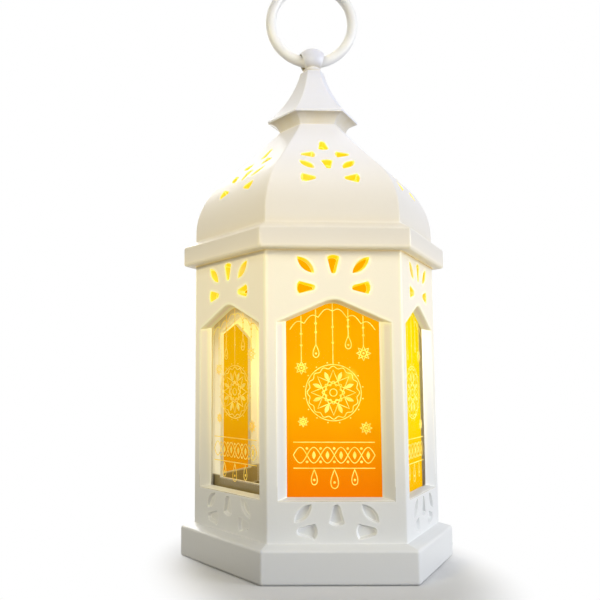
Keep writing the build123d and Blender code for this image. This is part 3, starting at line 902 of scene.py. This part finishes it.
# Stage: pale floor, soft lamps and a white surround
stage = {
    "floor": (0.80, 0.80, 0.80, 1),
    "bounce": (0.18, 0.18, 0.19, 1),  # the floor as the lantern sees it
    "floorRadius": 2.5,
    "floorLevel": -0.00002,
    "floorRoughness": 0.9,
    "floorGloss": 0.1,
    "standHole": 0.0296,  # open under the foot, so that light reaches the underside
    "fadeShift": (0.0, 0.009, 0.0),
    "fadeScale": (1.35, 0.9, 1.0),
    "fadeFrom": 0.036,
    "fadeTo": 0.060,
    "surround": (1.0, 1.0, 1.0, 1),
    "fill": (0.92, 0.94, 1.0, 1),
    "fillLevel": 0.25,
}
lamps = {
    "key": {"spot": (0.51, -0.295, 0.14), "aim": (0, 0, 0.06), "size": 0.25, "watts": 2.3,
            "colour": (0.94, 0.97, 1.0)},
    "top": {"spot": (0.0, -0.1, 0.9), "aim": (0, 0, 0), "size": 0.9, "watts": 1.6,
            "colour": (0.97, 0.98, 1.0)},
    "back": {"spot": (-0.10, 0.55, 0.26), "aim": (0, 0, 0.07), "size": 0.4, "watts": 1.7,
             "colour": (1.0, 0.99, 0.97)},
    "under": {"spot": (0.0, 0.0, -0.35), "aim": (0, 0, 0), "size": 0.25, "watts": 0.7,
              "colour": (1.0, 0.99, 0.98)},
}
spotLamps = {
    "front": {"spot": (-0.10, -0.46, 0.16), "aim": (0, 0, 0.118), "cone": 30, "blend": 1.0,
              "soft": 0.10, "watts": 2.7, "colour": (1.0, 0.98, 0.95)},
    "side": {"spot": (-0.25, -0.24, 0.20), "aim": (-0.02, -0.01, 0.080), "cone": 26, "blend": 0.4,
             "soft": 0.03, "watts": 2.35, "colour": (1.0, 0.86, 0.44)},
}
innerLamp = {"spot": (0, 0, 0.048), "watts": 0.018, "colour": (1.0, 0.80, 0.40), "radius": 0.006}


def newLamp(name, kind, lamp):
    data = bpy.data.lights.new(name, kind)
    data.energy = lamp["watts"]
    data.color = lamp["colour"]
    piece = addPiece(name, data)
    piece.visible_camera = False
    return piece, data


def aimLamp(piece, lamp):
    aim = Vector(lamp["aim"]) - Vector(lamp["spot"])
    turn = aim.to_track_quat("-Z", "Y").to_matrix().to_4x4()
    piece.matrix_world = Matrix.Translation(lamp["spot"]) @ turn


def addLamps():
    for name, lamp in lamps.items():
        piece, data = newLamp(name, "AREA", lamp)
        data.size = lamp["size"]
        aimLamp(piece, lamp)
    for name, lamp in spotLamps.items():
        piece, data = newLamp(name, "SPOT", lamp)
        data.spot_size = math.radians(lamp["cone"])
        data.spot_blend = lamp["blend"]
        data.shadow_soft_size = lamp["soft"]
        aimLamp(piece, lamp)
    piece, data = newLamp("inner", "POINT", innerLamp)
    data.shadow_soft_size = innerLamp["radius"]
    piece.location = innerLamp["spot"]
    piece.visible_glossy = False


# Rays that show the backdrop: straight from the camera, reflected or let through
def seenRays(tree):
    path = put(tree, "LightPath").outputs
    seen = calc(tree, "MAXIMUM", path["Is Camera Ray"], path["Is Glossy Ray"])
    return calc(tree, "MAXIMUM", seen, path["Is Transmission Ray"])


def addSurround():
    world = bpy.data.worlds.new("surround")
    bpy.context.scene.world = world
    world.use_nodes = True
    tree = world.node_tree
    tree.nodes.clear()
    light = put(tree, "Background", {"Color": stage["fill"], "Strength": stage["fillLevel"]})
    white = put(tree, "Background", {"Color": stage["surround"], "Strength": 1.0})
    parts = {0: seenRays(tree), 1: light.outputs[0], 2: white.outputs[0]}
    put(tree, "OutputWorld", {"Surface": put(tree, "MixShader", parts).outputs[0]})


# Floor finish: shaded near the lantern, so that its shadow shows, plain white further off, and
# clear from below
def makeFloorFinish():
    material, tree, shader = newMaterial("paleFloor")
    spot = objectPlace(tree)
    seen = seenRays(tree)
    feed(tree, shader["Base Color"], mixColour(tree, seen, stage["bounce"], stage["floor"]))
    shader["Roughness"].default_value = stage["floorRoughness"]
    shader["Specular IOR Level"].default_value = stage["floorGloss"]
    white = put(tree, "Emission", {"Color": stage["surround"], "Strength": 1.0}).outputs[0]
    fitted = {"Vector": spot, "Location": stage["fadeShift"], "Scale": stage["fadeScale"]}
    near = put(tree, "Mapping", fitted).outputs[0]
    away = put(tree, "VectorMath", {0: near}, operation="LENGTH").outputs["Value"]
    fade = calc(tree, "MULTIPLY", remap(tree, away, stage["fadeFrom"], stage["fadeTo"]), seen)
    surface = tree.nodes["Principled BSDF"].outputs[0]
    faded = put(tree, "MixShader", {0: fade, 1: surface, 2: white}).outputs[0]
    under = calc(tree, "MULTIPLY", put(tree, "NewGeometry").outputs["Backfacing"], seen)
    clear = put(tree, "BsdfTransparent").outputs[0]
    both = put(tree, "MixShader", {0: under, 1: faded, 2: clear}).outputs[0]
    feed(tree, tree.nodes["Material Output"].inputs["Surface"], both)
    return material


# Floor: a flat ring from a six-sided hole under the foot to a wide circle, with the radius growing
# by equal factors
def addFloor(turns=96, steps=9):
    turn = np.linspace(0, 2 * np.pi, turns, endpoint=False)[:, None]
    out = np.linspace(0, 1, steps)[None, :]
    hole = stage["standHole"] / np.cos(np.mod(turn, np.pi / 3) - np.pi / 6)
    radius = hole * (stage["floorRadius"] / hole) ** out
    level = np.full_like(radius, stage["floorLevel"])
    places = np.stack([radius * np.cos(turn), radius * np.sin(turn), level], -1).reshape(-1, 3)
    row, step = np.arange(turns)[:, None] * steps, np.arange(steps - 1)[None, :]
    after = (np.arange(turns)[:, None] + 1) % turns * steps
    faces = np.stack([row + step, row + step + 1, after + step + 1, after + step], -1)
    mesh = bpy.data.meshes.new("floor")
    mesh.from_pydata(places.tolist(), [], faces.reshape(-1, 4).tolist())
    mesh.materials.append(makeFloorFinish())
    floor = addPiece("floor", mesh)


addCamera()
dressAll()
addPrints()
addLamps()
addSurround()
addFloor()
bpy.context.scene.view_settings.view_transform = "Standard"
print("stage set")
